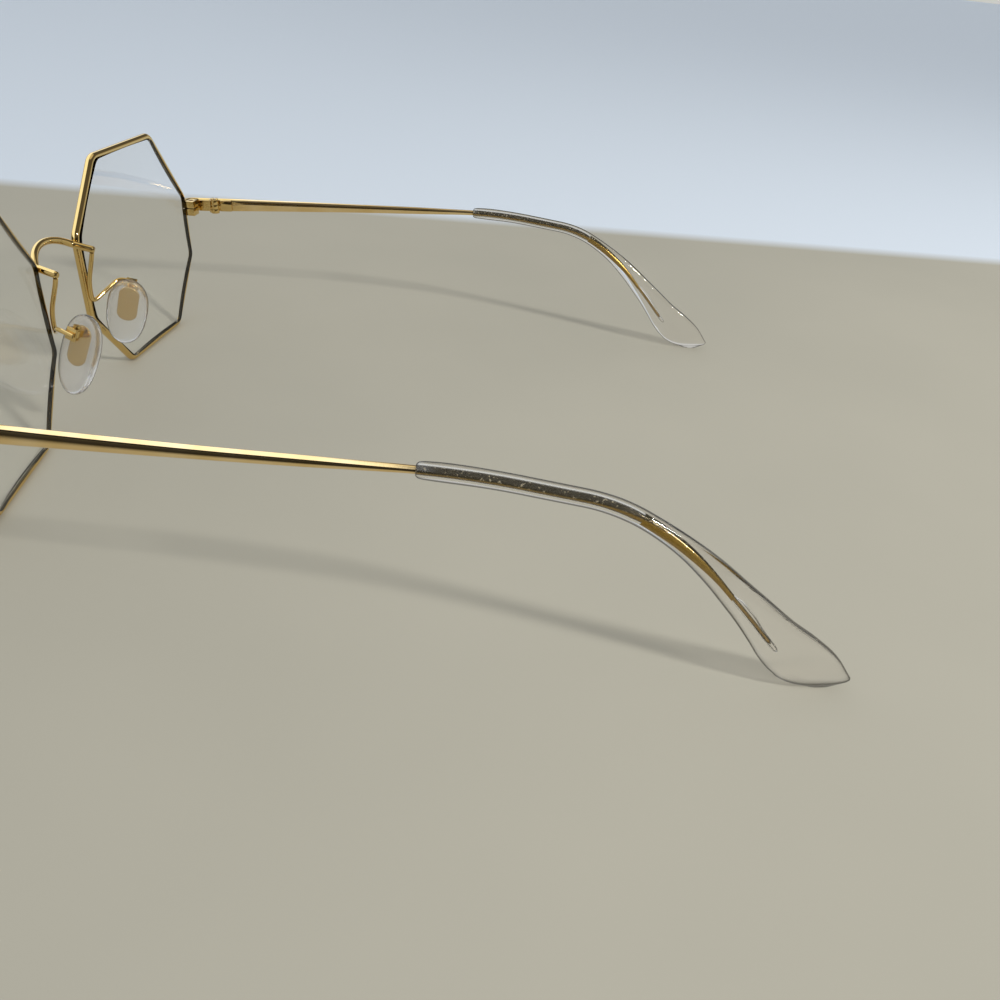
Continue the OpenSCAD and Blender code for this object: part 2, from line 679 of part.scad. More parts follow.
left() rim();  // rim_left
right() rim();  // rim_right
left() lens();  // lens_left
right() lens();  // lens_right
left() bridge();
left() closing_block_upper();  // closing_block_upper_left
right() closing_block_upper();  // closing_block_upper_right
left() closing_block_lower();  // closing_block_lower_left
right() closing_block_lower();  // closing_block_lower_right
left() rim_screw();  // rim_screw_left
right() rim_screw();  // rim_screw_right
left() endpiece();  // endpiece_left
right() endpiece();  // endpiece_right
left() front_hinge();  // front_hinge_left
right() front_hinge();  // front_hinge_right
left() hinge_screw();  // hinge_screw_left
right() hinge_screw();  // hinge_screw_right
left() temple();  // temple_left
right() temple();  // temple_right
left() temple_hinge();  // temple_hinge_left
right() temple_hinge();  // temple_hinge_right
left() temple_tip();  // temple_tip_left
right() temple_tip();  // temple_tip_right
left() pad_arm();  // pad_arm_left
right() pad_arm();  // pad_arm_right
left() pad_box();  // pad_box_left
right() pad_box();  // pad_box_right
left() pad_screw();  // pad_screw_left
right() pad_screw();  // pad_screw_right
left() pad_insert();  // pad_insert_left
right() pad_insert();  // pad_insert_right
left() nose_pad();  // nose_pad_left
right() nose_pad();  // nose_pad_right
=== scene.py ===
import json
import math

import bmesh
import bpy
from mathutils import Matrix, Vector


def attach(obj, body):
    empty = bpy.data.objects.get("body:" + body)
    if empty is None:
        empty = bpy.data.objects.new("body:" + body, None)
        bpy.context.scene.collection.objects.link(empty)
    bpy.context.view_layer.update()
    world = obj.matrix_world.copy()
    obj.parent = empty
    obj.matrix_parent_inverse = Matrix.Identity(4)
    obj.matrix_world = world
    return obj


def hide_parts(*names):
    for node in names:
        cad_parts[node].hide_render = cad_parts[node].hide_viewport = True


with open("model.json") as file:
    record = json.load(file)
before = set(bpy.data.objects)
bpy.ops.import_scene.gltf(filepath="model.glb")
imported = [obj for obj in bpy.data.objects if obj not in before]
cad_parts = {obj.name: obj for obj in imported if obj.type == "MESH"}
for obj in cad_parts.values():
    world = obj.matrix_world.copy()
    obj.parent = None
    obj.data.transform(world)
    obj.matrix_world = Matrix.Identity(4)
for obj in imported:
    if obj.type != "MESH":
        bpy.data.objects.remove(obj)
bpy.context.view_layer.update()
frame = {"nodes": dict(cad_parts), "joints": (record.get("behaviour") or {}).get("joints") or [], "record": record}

mm = 0.001
scene = bpy.context.scene


# Nodes, for materials and for Geometry Nodes alike

class Plug:
    # Wraps an output socket, so that a sum on it adds the Math node for it
    def __init__(self, graph, socket):
        self.graph = graph
        self.socket = socket

    def math(self, operation, other, flipped=False):
        first, second = (other, self) if flipped else (self, other)
        return self.graph.add("ShaderNodeMath", {"operation": operation}, {0: first, 1: second})[0]

    def __add__(self, other):
        return self.math("ADD", other)

    def __radd__(self, other):
        return self.math("ADD", other, True)

    def __sub__(self, other):
        return self.math("SUBTRACT", other)

    def __rsub__(self, other):
        return self.math("SUBTRACT", other, True)

    def __mul__(self, other):
        return self.math("MULTIPLY", other)

    def __rmul__(self, other):
        return self.math("MULTIPLY", other, True)

    def __truediv__(self, other):
        return self.math("DIVIDE", other)

    def __rtruediv__(self, other):
        return self.math("DIVIDE", other, True)

    def __pow__(self, other):
        return self.math("POWER", other)

    def __rpow__(self, other):
        return self.math("POWER", other, True)

    def __abs__(self):
        return self.graph.add("ShaderNodeMath", {"operation": "ABSOLUTE"}, {0: self})[0]


class Placed:
    # Wraps a node, and hands out its outputs by name or number
    def __init__(self, graph, node):
        self.graph = graph
        self.node = node

    def __getitem__(self, key):
        return Plug(self.graph, self.node.outputs[key])


class Graph:
    def __init__(self, tree):
        self.tree = tree

    def add(self, kind, settings=None, values=None):
        node = self.tree.nodes.new(kind)
        for name, value in (settings or {}).items():
            if name == "stops":
                ramp = node.color_ramp.elements
                while len(ramp) < len(value):
                    ramp.new(0.5)
                for stop, (position, colour) in zip(ramp, value):
                    stop.position = position
                    stop.color = colour
            else:
                setattr(node, name, value)
        for key, value in (values or {}).items():
            if isinstance(value, Plug):
                self.tree.links.new(value.socket, node.inputs[key])
            else:
                node.inputs[key].default_value = value
        return Placed(self, node)

    def vector(self, operation, first, second=None, scale=None):
        values = {0: first}
        if second is not None:
            values[1] = second
        if scale is not None:
            values["Scale"] = scale
        done = self.add("ShaderNodeVectorMath", {"operation": operation}, values)
        return done["Value"] if operation == "DOT_PRODUCT" else done["Vector"]

    def mixColour(self, factor, first, second):
        return self.add("ShaderNodeMix", {"data_type": "RGBA"}, {0: factor, 6: first, 7: second})[2]


# Where the pieces are: sizes in millimetres, in a frame that stands upright on the rims' middle

rimSizes = {
    "lensWidth": 50, "lensHeight": 46.4, "noseGap": 20,
    "topEdge": 25.4, "topShift": 0.8, "bottomEdge": 25, "bottomShift": 0.5,
    "noseEdge": 17.8, "noseEdgeHeight": 0.4, "sideEdge": 15, "sideEdgeHeight": -1.1,
    "cornerRadius": 2.6, "depth": 1.8, "thickness": 1.15, "inner": 0.06, "wrap": 6,
    "groove": 0.55, "lip": 0.2, "lipRound": (0.06, 0.07), "flatShare": 0.3, "slit": 0.2,
    "cornerSteps": 14, "roundSteps": 12,
}
templeSizes = {
    "height": 3.3, "thickness": 1.5, "level": 3.4, "splay": 5.6, "rise": 0.3,
    "stretches": [(66, 0), (19, 9), (8.5, 0), (10, 21.5), (17, 19), (29.5, 0)],  # length, turn in degrees
    "bowRadius": 1190, "barrel": 2.2, "reachOut": 4.5, "reachBack": 7.3, "bite": 0.1, "gap": 0.05,
}
rimOut = rimSizes["inner"] + rimSizes["thickness"]
eyeX = (rimSizes["noseGap"] + rimSizes["lensWidth"]) / 2
wrapAngle = math.radians(rimSizes["wrap"])
splayAngle = math.radians(templeSizes["splay"])


def eyePoint(out, back, up):
    return Vector((
        eyeX + out * math.cos(wrapAngle) - back * math.sin(wrapAngle),
        out * math.sin(wrapAngle) + back * math.cos(wrapAngle),
        up,
    ))


lineX = templeSizes["barrel"] / 2 + templeSizes["bite"] + templeSizes["thickness"] / 2
rimSide = eyePoint(rimSizes["lensWidth"] / 2 + rimOut, 0, templeSizes["level"])
jointPoint = rimSide + Vector((templeSizes["reachOut"], templeSizes["reachBack"], 0))
hingePoint = jointPoint - lineX * Vector((math.cos(splayAngle), -math.sin(splayAngle), 0))


def fromHinge(p):
    return hingePoint + Vector((
        p[0] * math.cos(splayAngle) + p[1] * math.sin(splayAngle),
        -p[0] * math.sin(splayAngle) + p[1] * math.cos(splayAngle),
        p[2],
    ))


# The glasses stand on their rims and tips, so the upright frame leans back a little in the model
foldJoint = next(j for j in frame["joints"] if j["name"] == "temple_left_fold")
leanAngle = math.atan2(-foldJoint["axis"][1], foldJoint["axis"][2])
leanTurn = Matrix.Rotation(leanAngle, 4, "X")
standing = Matrix.Translation(Vector(foldJoint["pos_m"]) - leanTurn @ (hingePoint * mm)) @ leanTurn
upwards = leanTurn @ Vector((0, 0, 1))


def place(p):
    return standing @ (Vector(p) * mm)


# Materials

def newMaterial(name):
    material = bpy.data.materials.new(name)
    material.use_nodes = True
    material.node_tree.nodes.clear()
    return material, Graph(material.node_tree)


def finishMaterial(graph, shader):
    graph.add("ShaderNodeOutputMaterial", None, {"Surface": shader})


def noise(graph, point, scale, detail=3.0, roughness=0.5):
    return graph.add("ShaderNodeTexNoise", None, {
        "Vector": point, "Scale": scale, "Detail": detail, "Roughness": roughness,
    })["Fac"]


def passing(graph, value, start, end):
    # Rises softly from 0 at start to 1 at end
    return graph.add("ShaderNodeMapRange", {"interpolation_type": "SMOOTHSTEP"}, {
        "Value": value, "From Min": start, "From Max": end,
    })[0]


goldFinish = {
    "fresh": (0.95, 0.73, 0.40, 1), "worn": (0.88, 0.64, 0.30, 1), "wornSpan": (0.36, 0.66),
    # front is a deeper gold painted on the rims and the bridge as painted shade
    "front": (0.74, 0.53, 0.21, 1), "frontSpan": (-0.060, -0.052),
    "cloudScale": 160, "speckScale": 2600, "grain": 0.012, "grainDepth": 0.0002,
    "roughness": 0.05, "cloudRoughness": 0.06, "speckRoughness": 0.05, "coreRoughness": 0.12,
    # The core colours: a painted shade for the upper side of the wires inside the tips, and a brownish gold for
    # their lower side
    "coreTop": (0.065, 0.055, 0.032, 1), "coreUnder": (0.36, 0.235, 0.06, 1), "coreSpan": (0.0066, 0.0074),
    "coreSpeck": (0.62, 0.56, 0.42, 1), "coreSpeckSpan": (0.6, 0.68),
    "coreTopSpan": (-0.25, 0.05), "coreBend": (0.030, 0.046), "coreBendLess": 0.6,
}


def goldMaterial():
    material, graph = newMaterial("goldWire")
    finish = goldFinish
    coordinates = graph.add("ShaderNodeTexCoord")
    point = coordinates["Object"]
    cloud = noise(graph, point, finish["cloudScale"], 4)
    specks = noise(graph, point, finish["speckScale"], 2)
    stops = list(zip(finish["wornSpan"], ((0, 0, 0, 1), (1, 1, 1, 1))))
    tone = graph.add("ShaderNodeValToRGB", {"stops": stops}, {0: cloud})[0]
    colour = graph.mixColour(tone, finish["fresh"], finish["worn"])
    # The rims and the bridge are painted a deeper gold than the temples: painted shade, standing in for the dark
    # surroundings they reflect
    along = graph.add("ShaderNodeSeparateXYZ", None, {0: point})["Y"]
    colour = graph.mixColour(passing(graph, along, *finish["frontSpan"]), finish["front"], colour)
    # The ends of the temple wires, inside the tips, are rougher and browner; their upper side is painted dark as
    # painted shade, with lighter specks, and their lower side keeps a brownish gold
    facing = graph.add("ShaderNodeSeparateXYZ", None, {0: coordinates["Normal"]})["Z"]
    bend = passing(graph, along, *finish["coreBend"])
    top = passing(graph, facing - finish["coreBendLess"] * bend, *finish["coreTopSpan"])
    speckled = passing(graph, specks, *finish["coreSpeckSpan"])
    coreShadeColour = graph.mixColour(speckled, finish["coreTop"], finish["coreSpeck"])
    core = passing(graph, along, *finish["coreSpan"])
    colour = graph.mixColour(core, colour, graph.mixColour(top, finish["coreUnder"], coreShadeColour))
    rough = finish["roughness"] + finish["cloudRoughness"] * (cloud - 0.4)
    rough = rough + finish["speckRoughness"] * (specks - 0.5) + finish["coreRoughness"] * core
    bump = graph.add("ShaderNodeBump", None, {
        "Strength": finish["grain"], "Distance": finish["grainDepth"], "Height": specks,
    })["Normal"]
    shader = graph.add("ShaderNodeBsdfPrincipled", None, {
        "Base Color": colour, "Metallic": 1.0, "Roughness": rough, "Normal": bump,
    })[0]
    finishMaterial(graph, shader)
    return material


rippleDepth = 0.0003
smearFiner = 3  # the smears are this many times finer than the ripples
smearLeast, smearMore = 0.4, 1.2  # shares of the roughness, without a smear and what a smear adds


def clearMaterial(name, look):
    material, graph = newMaterial(name)
    point = graph.add("ShaderNodeTexCoord")["Object"]
    wave = noise(graph, point, look["rippleScale"], 2)
    smear = noise(graph, point, look["rippleScale"] * smearFiner, 4)
    bump = graph.add("ShaderNodeBump", None, {
        "Strength": look["ripple"], "Distance": rippleDepth, "Height": wave,
    })["Normal"]
    # Painted shade: the colour darkens where the surface turns away from the view, standing in for the dark lines
    # that refraction and reflection give clear edges
    facing = graph.add("ShaderNodeLayerWeight", None, {"Blend": 0.5})["Facing"]
    edge = passing(graph, facing, look["edgeStart"], look["edgeFull"])
    glass = graph.add("ShaderNodeBsdfPrincipled", None, {
        "Base Color": graph.mixColour(edge, look["tint"], look["edge"]),
        "Roughness": look["roughness"] * (smearLeast + smearMore * smear), "IOR": look["ior"],
        "Specular IOR Level": look["specular"], "Transmission Weight": look["clear"], "Normal": bump,
    })[0]
    # Light goes straight on through the clear piece to the table, so its shadow stays faint
    path = graph.add("ShaderNodeLightPath")
    straight = (path["Is Shadow Ray"] + path["Is Diffuse Ray"]) * look["shadowShare"]
    through = graph.add("ShaderNodeBsdfTransparent", None, {"Color": look["tint"]})[0]
    finishMaterial(graph, graph.add("ShaderNodeMixShader", None, {0: straight, 1: glass, 2: through})[0])
    return material


# In each look, edge is the painted shade colour that the clear piece darkens to towards its edges
lensLook = {
    "tint": (0.985, 0.99, 0.99, 1), "edge": (0.9, 0.92, 0.92, 1), "edgeStart": 0.8, "edgeFull": 1.0,
    "clear": 1.0, "ior": 1.5, "specular": 0.2, "roughness": 0.004, "ripple": 0.01, "rippleScale": 60,
    "shadowShare": 0.92,
}
tipLook = {
    "tint": (0.975, 0.96, 0.95, 1), "edge": (0.03, 0.028, 0.025, 1), "edgeStart": 0.28, "edgeFull": 0.56,
    "clear": 1.0, "ior": 1.47, "specular": 0.3, "roughness": 0.014, "ripple": 0.05, "rippleScale": 220,
    "shadowShare": 0.6,
}
padLook = {
    "tint": (0.93, 0.93, 0.945, 1), "edge": (0.05, 0.048, 0.046, 1), "edgeStart": 0.36, "edgeFull": 0.72,
    "clear": 0.9, "ior": 1.42, "specular": 0.5, "roughness": 0.12, "ripple": 0.12, "rippleScale": 420,
    "shadowShare": 0.5,
}
gold = goldMaterial()
lensGlass = clearMaterial("lensGlass", lensLook)
tipResin = clearMaterial("tipResin", tipLook)
padSilicone = clearMaterial("padSilicone", padLook)
print("materials ready")


# Camera and studio

cameraSizes = {
    "spot": (178.252, 15.92, 96.523), "turn": (57.7446, -5.7262, 91.8199),
    "lens": 31.99, "sensor": 36, "nearest": 0.005,
}
studio = {
    "floorHalf": 20.0, "table": (0.515, 0.492, 0.405, 1), "tableCloud": (0.42, 0.405, 0.335, 1),
    "tableCloudScale": 9, "tableRoughness": 0.62, "tableShine": 0.04,
    "far": (0.76, 0.84, 0.92, 1),
    "edgeStart": (-165.6, -176.2), "edgeEnd": (-211.2, 232.1), "edgeBlur": 12,
    # A dark painted reflection of the table towards the camera's side, which only reflections show
    "cloth": (0.022, 0.020, 0.016, 1), "clothSpan": (0.094, 0.122),
    "keyPlace": (0.375, 0.72, 0.52), "keySize": (0.09, 0.09),
    "keyPower": 5.5, "keyColour": (1.0, 0.975, 0.94),
    "wall": (0.50, 0.49, 0.45, 1), "room": (0.02, 0.019, 0.016, 1), "roomSpan": (-0.2, 0.3),
    "ceiling": (0.61, 0.62, 0.64, 1), "dim": (0.11, 0.105, 0.10, 1), "ceilingSpan": (0.24, 0.3),
    "window": (1.42, 1.52, 1.65, 1), "windowSpan": (0.12, 0.26),
    "panel": (0.72, 0.69, 0.60, 1), "panelPlace": (-0.2, 0.1, 0.97), "panelSpan": (0.88, 0.94),
    "backdrop": (0.60, 0.60, 0.57, 1),
}


def addCamera():
    data = bpy.data.cameras.new("photoCamera")
    data.lens = cameraSizes["lens"]
    data.sensor_width = cameraSizes["sensor"]
    data.clip_start = cameraSizes["nearest"]
    camera = bpy.data.objects.new("photoCamera", data)
    camera.location = Vector(cameraSizes["spot"]) * mm
    camera.rotation_euler = [math.radians(a) for a in cameraSizes["turn"]]
    scene.collection.objects.link(camera)
    scene.camera = camera


def addFloor():
    half = studio["floorHalf"]
    mesh = bpy.data.meshes.new("table")
    corners = [(-half, -half, 0), (half, -half, 0), (half, half, 0), (-half, half, 0)]
    mesh.from_pydata(corners, [], [(0, 1, 2, 3)])
    floor = bpy.data.objects.new("table", mesh)
    scene.collection.objects.link(floor)
    material, graph = newMaterial("paleTable")
    point = graph.add("ShaderNodeTexCoord")["Object"]
    # Beyond the table's far edge its colour passes softly into the pale wall's
    start, end = (Vector(studio[k]) * mm for k in ("edgeStart", "edgeEnd"))
    across = Vector((-(end - start).y, (end - start).x)).normalized()
    distance = graph.vector("DOT_PRODUCT", point, (across.x, across.y, 0)) - across.dot(start)
    beyond = graph.add("ShaderNodeClamp", None, {"Value": distance / (studio["edgeBlur"] * mm) + 0.5})[0]
    cloud = noise(graph, point, studio["tableCloudScale"], 3)
    table = graph.mixColour(cloud, studio["table"], studio["tableCloud"])
    colour = graph.mixColour(beyond, table, studio["far"])
    # Painted reflection: towards the camera's side the table turns dark for reflection rays only, so the metal
    # shows a dark band
    out = graph.add("ShaderNodeSeparateXYZ", None, {0: point})["X"]
    paintedReflectionMask = passing(graph, out, *studio["clothSpan"])
    path = graph.add("ShaderNodeLightPath")
    shown = path["Is Glossy Ray"] * (1 - path["Is Transmission Ray"])
    colour = graph.mixColour(paintedReflectionMask * shown, colour, studio["cloth"])
    shader = graph.add("ShaderNodeBsdfPrincipled", None, {
        "Base Color": colour, "Roughness": studio["tableRoughness"],
        "Specular IOR Level": studio["tableShine"],
    })[0]
    finishMaterial(graph, shader)
    mesh.materials.append(material)


def addLights():
    # A small soft lamp high beside the tips, which throws the shadows
    data = bpy.data.lights.new("tableLamp", "AREA")
    data.shape = "RECTANGLE"
    data.size, data.size_y = studio["keySize"]
    data.energy = studio["keyPower"]
    data.color = studio["keyColour"]
    light = bpy.data.objects.new("tableLamp", data)
    light.location = studio["keyPlace"]
    depth = Vector(studio["keyPlace"]).normalized()
    wide = (Vector((0, 1, 0)) - depth * depth.y).normalized()
    light.rotation_euler = Matrix((wide, depth.cross(wide), depth)).transposed().to_euler()
    scene.collection.objects.link(light)


def addWorld():
    # A pale wall behind the glasses, a dark room behind the camera and an even ceiling
    world = bpy.data.worlds.new("studioWorld")
    world.use_nodes = True
    world.node_tree.nodes.clear()
    graph = Graph(world.node_tree)
    way = graph.add("ShaderNodeSeparateXYZ", None, {0: graph.add("ShaderNodeTexCoord")["Generated"]})

    around = graph.mixColour(passing(graph, way["X"], *studio["roomSpan"]), studio["wall"], studio["room"])
    # Reflections show a dim ceiling with a long window before the glasses and a panel overhead
    toPanel = sum(way[axis] * part for axis, part in zip("XYZ", studio["panelPlace"]))
    shown = graph.mixColour(passing(graph, toPanel, *studio["panelSpan"]), studio["dim"], studio["panel"])
    shown = graph.mixColour(passing(graph, 0 - way["Y"], *studio["windowSpan"]), shown, studio["window"])
    path = graph.add("ShaderNodeLightPath")
    above = graph.mixColour(path["Is Glossy Ray"], studio["ceiling"], shown)
    colour = graph.mixColour(passing(graph, way["Z"], *studio["ceilingSpan"]), around, above)
    # The view itself, and the view through clear pieces, have a plain pale backdrop
    colour = graph.mixColour(path["Is Camera Ray"] + path["Is Transmission Ray"], colour, studio["backdrop"])
    back = graph.add("ShaderNodeBackground", None, {"Color": colour, "Strength": 1.0})[0]
    graph.add("ShaderNodeOutputWorld", None, {"Surface": back})
    scene.world = world


addCamera()
addFloor()
addLights()
addWorld()
scene.view_settings.view_transform = "Standard"
print("camera and studio ready")


# Making and finishing meshes

def smoothEdges(mesh, angle):
    mesh.shade_smooth()
    mesh.set_sharp_from_angle(angle=math.radians(angle))


# Edges that turn more than this, in degrees, stay sharp
sharpFrom = {"small": 40, "rim": 50, "lens": 25, "bridge": 50, "temple": 55, "tip": 60, "pad": 60}


def addPiece(name, mesh, material, body, node, sharp):
    mesh.materials.clear()
    mesh.materials.append(material)
    smoothEdges(mesh, sharp)
    piece = bpy.data.objects.new(name, mesh)
    scene.collection.objects.link(piece)
    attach(piece, body)
    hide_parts(node)


def mirrored(mesh):
    other = mesh.copy()
    other.transform(Matrix.Scale(-1, 4, (1, 0, 0)))
    other.flip_normals()
    return other


def addPair(name, mesh, material, body, node, sharp):
    bodies = (body, body) if body == "front" else (body + "_left", body + "_right")
    right = mirrored(mesh)
    addPiece(name + "Left", mesh, material, bodies[0], node + "_left", sharpFrom[sharp])
    addPiece(name + "Right", right, material, bodies[1], node + "_right", sharpFrom[sharp])


def closedMesh(name, rings):
    # A closed skin over rings of equally many points, with a flat cap at each end
    count = len(rings[0])
    last = (len(rings) - 1) * count
    mesh = bpy.data.meshes.new(name)
    faces = [tuple(range(count))[::-1], tuple(last + j for j in range(count))]
    for i in range(len(rings) - 1):
        for j in range(count):
            k = (j + 1) % count
            faces.append((i * count + j, i * count + k, (i + 1) * count + k, (i + 1) * count + j))
    mesh.from_pydata([p for ring in rings for p in ring], [], faces)
    shape = bmesh.new()
    shape.from_mesh(mesh)
    bmesh.ops.recalc_face_normals(shape, faces=shape.faces)
    shape.to_mesh(mesh)
    shape.free()
    return mesh


def ovalPoints(width, height, square, count):
    points = []
    for i in range(count):
        angle = 2 * math.pi * i / count
        c, s = math.cos(angle), math.sin(angle)
        points.append((
            width / 2 * math.copysign(abs(c) ** (2 / square), c),
            height / 2 * math.copysign(abs(s) ** (2 / square), s),
        ))
    return points


# Geometry Nodes: a wire swept along a path, with a section that may change on the way

def dressed(graph, shape, metal):
    whole = graph.add("GeometryNodeRealizeInstances", None, {"Geometry": shape})["Geometry"]
    return graph.add("GeometryNodeSetMaterial", None, {"Geometry": whole, "Material": metal})["Geometry"]


def wireTree():
    tree = bpy.data.node_groups.new("wireSweep", "GeometryNodeTree")
    for name, kind in (("Path", "Geometry"), ("Upwards", "Vector"), ("Step", "Float"),
                       ("Sides", "Int"), ("Metal", "Material")):
        tree.interface.new_socket(name=name, in_out="INPUT", socket_type="NodeSocket" + kind)
    tree.interface.new_socket(name="Wire", in_out="OUTPUT", socket_type="NodeSocketGeometry")
    graph = Graph(tree)
    given = graph.add("NodeGroupInput")
    curve = graph.add("GeometryNodeMeshToCurve", None, {0: given["Path"]})["Curve"]
    curve = graph.add("GeometryNodeResampleCurve", {"mode": "LENGTH"}, {
        "Curve": curve, "Length": given["Step"],
    })["Curve"]
    middle = graph.add("GeometryNodeInputPosition")[0]
    along = graph.add("GeometryNodeInputTangent")[0]
    vectors = {"data_type": "FLOAT_VECTOR", "domain": "POINT"}
    for name, field in (("middle", middle), ("along", along)):
        curve = graph.add("GeometryNodeStoreNamedAttribute", vectors, {
            "Geometry": curve, "Name": name, "Value": field,
        })["Geometry"]
    circle = graph.add("GeometryNodeCurvePrimitiveCircle", None, {
        "Resolution": given["Sides"], "Radius": mm,
    })["Curve"]
    wire = graph.add("GeometryNodeCurveToMesh", None, {
        "Curve": curve, "Profile Curve": circle, "Fill Caps": True,
    })["Mesh"]

    def stored(name, kind):
        node = graph.add("GeometryNodeInputNamedAttribute", {"data_type": kind}, {"Name": name})
        return node["Attribute"]

    tangent, centre = stored("along", "FLOAT_VECTOR"), stored("middle", "FLOAT_VECTOR")
    offset = graph.vector("SUBTRACT", middle, centre)
    side = graph.vector("NORMALIZE", graph.vector("CROSS_PRODUCT", tangent, given["Upwards"]))
    rise = graph.vector("CROSS_PRODUCT", side, tangent)

    def widened(axis, reach):
        # The round section's share along this axis becomes the oval's
        share = graph.vector("DOT_PRODUCT", offset, axis) / mm
        sign = graph.add("ShaderNodeMath", {"operation": "SIGN"}, {0: share})[0]
        amount = sign * abs(share) ** (2 / stored("square", "FLOAT")) * reach * 0.5
        return graph.vector("SCALE", axis, scale=amount)

    across = widened(side, stored("wide", "FLOAT"))
    up = widened(rise, stored("tall", "FLOAT"))
    moved = graph.vector("ADD", centre, graph.vector("ADD", across, up))
    wire = graph.add("GeometryNodeSetPosition", None, {"Geometry": wire, "Position": moved})["Geometry"]
    graph.add("NodeGroupOutput", None, {"Wire": dressed(graph, wire, given["Metal"])})
    return tree


def grown(name, mesh, tree, values):
    # Runs a tree on a mesh and keeps what comes out as a plain mesh
    source = bpy.data.objects.new(name, mesh)
    scene.collection.objects.link(source)
    modifier = source.modifiers.new("grow", "NODES")
    modifier.node_group = tree
    for item in tree.interface.items_tree:
        if item.name in values:
            modifier[item.identifier] = values[item.name]
    bpy.context.view_layer.update()
    made = bpy.data.meshes.new_from_object(source.evaluated_get(bpy.context.evaluated_depsgraph_get()))
    bpy.data.objects.remove(source)
    made.name = name
    return made


sweepTree = wireTree()


def sweptWire(name, stations, step, sides, hint=None):
    # stations: point, width, height and squareness of the section, in millimetres in the upright frame
    mesh = bpy.data.meshes.new(name + "Path")
    mesh.from_pydata([place(s[0]) for s in stations], [(i, i + 1) for i in range(len(stations) - 1)], [])
    for column, key, scale in ((1, "wide", mm), (2, "tall", mm), (3, "square", 1)):
        values = [s[column] * scale for s in stations]
        mesh.attributes.new(key, "FLOAT", "POINT").data.foreach_set("value", values)
    upHint = leanTurn @ Vector(hint) if hint else upwards
    return grown(name, mesh, sweepTree, {
        "Upwards": tuple(upHint), "Step": step * mm, "Sides": sides, "Metal": gold,
    })


# Curves through the stations

def between(rows, position):
    # A smooth value between table rows: position first, then the columns
    last = len(rows) - 2
    i = next((k for k in range(last) if position <= rows[k + 1][0]), last)
    lower, upper = rows[i], rows[i + 1]
    before, after = rows[max(i - 1, 0)], rows[min(i + 2, len(rows) - 1)]
    span = upper[0] - lower[0]
    t = (position - lower[0]) / span
    result = []
    for column in range(1, len(lower)):
        rise = (upper[column] - lower[column]) / span
        steepIn = rise if before is lower else slopeAt(before, lower, upper, column)
        steepOut = rise if after is upper else slopeAt(lower, upper, after, column)
        a, b = lower[column], upper[column]
        result.append(
            a * (2 * t ** 3 - 3 * t ** 2 + 1) + b * (3 * t ** 2 - 2 * t ** 3)
            + span * (steepIn * (t ** 3 - 2 * t ** 2 + t) + steepOut * (t ** 3 - t ** 2))
        )
    return result


def slopeAt(before, here, after, column):
    # A slope that never overshoots the rows
    left = (here[column] - before[column]) / (here[0] - before[0])
    right = (after[column] - here[column]) / (after[0] - here[0])
    if left * right <= 0:
        return 0
    return 2 * left * right / (left + right)


def roundedPath(points, trims, steps):
    path = [Vector(points[0])]
    for i in range(1, len(points) - 1):
        corner = Vector(points[i])
        start = corner + (Vector(points[i - 1]) - corner).normalized() * trims[i - 1]
        end = corner + (Vector(points[i + 1]) - corner).normalized() * trims[i - 1]
        for k in range(steps + 1):
            t = k / steps
            path.append(start * (1 - t) ** 2 + corner * 2 * t * (1 - t) + end * t * t)
    path.append(Vector(points[-1]))
    return path


# Rims

def octagonCorners():
    r = rimSizes
    return [Vector(c) for c in (
        (r["topEdge"] / 2 - r["topShift"], r["lensHeight"] / 2),
        (-r["topEdge"] / 2 - r["topShift"], r["lensHeight"] / 2),
        (-r["lensWidth"] / 2, r["noseEdgeHeight"] + r["noseEdge"] / 2),
        (-r["lensWidth"] / 2, r["noseEdgeHeight"] - r["noseEdge"] / 2),
        (-r["bottomEdge"] / 2 + r["bottomShift"], -r["lensHeight"] / 2),
        (r["bottomEdge"] / 2 + r["bottomShift"], -r["lensHeight"] / 2),
        (r["lensWidth"] / 2, r["sideEdgeHeight"] - r["sideEdge"] / 2),
        (r["lensWidth"] / 2, r["sideEdgeHeight"] + r["sideEdge"] / 2),
    )]


corners = octagonCorners()


def cornerArc(i, steps):
    # Centre and directions of the arc that rounds a corner
    here, before, after = corners[i], corners[i - 1], corners[(i + 1) % len(corners)]
    come, go = (here - before).normalized(), (after - here).normalized()
    turn = math.atan2(come.x * go.y - come.y * go.x, come.dot(go))
    radius = rimSizes["cornerRadius"]
    centre = here + go * radius * math.tan(turn / 2) + Vector((-go.y, go.x)) * radius
    first = math.atan2(come.y, come.x) - math.pi / 2
    return centre, [first + turn * k / steps for k in range(steps + 1)]


def outlineLoop(out, cornerSteps, edgeStep):
    # The lens outline moved out, its straight edges divided, counter-clockwise from the side edge's top
    loop = []
    for i in range(len(corners)):
        centre, angles = cornerArc(i, cornerSteps)
        for a in angles:
            loop.append(centre + (rimSizes["cornerRadius"] + out) * Vector((math.cos(a), math.sin(a))))
        nextCentre, nextAngles = cornerArc((i + 1) % len(corners), cornerSteps)
        a = nextAngles[0]
        target = nextCentre + (rimSizes["cornerRadius"] + out) * Vector((math.cos(a), math.sin(a)))
        parts = max(1, round((target - loop[-1]).length / edgeStep)) if edgeStep else 1
        last = loop[-1]
        loop.extend(last.lerp(target, k / parts) for k in range(1, parts))
    return loop


def rimSection():
    # Outwards from the lens edge and to the front: round outside, with the lens groove inside
    inner, thick, half = rimSizes["inner"], rimSizes["thickness"], rimSizes["depth"] / 2
    flat = rimSizes["flatShare"] * thick
    groove, lip = rimSizes["groove"], rimSizes["lip"]
    lipOut, lipBack = rimSizes["lipRound"]
    points = [(inner, groove), (inner + groove, 0.0), (inner, -groove)]
    points += [(inner, lip - half), (inner + lipOut, lipBack - half)]
    for k in range(rimSizes["roundSteps"] + 1):
        a = math.radians(-90 + 180 * k / rimSizes["roundSteps"])
        points.append((inner + flat + (thick - flat) * math.cos(a), half * math.sin(a)))
    return points + [(inner + lipOut, half - lipBack), (inner, half - lip)]


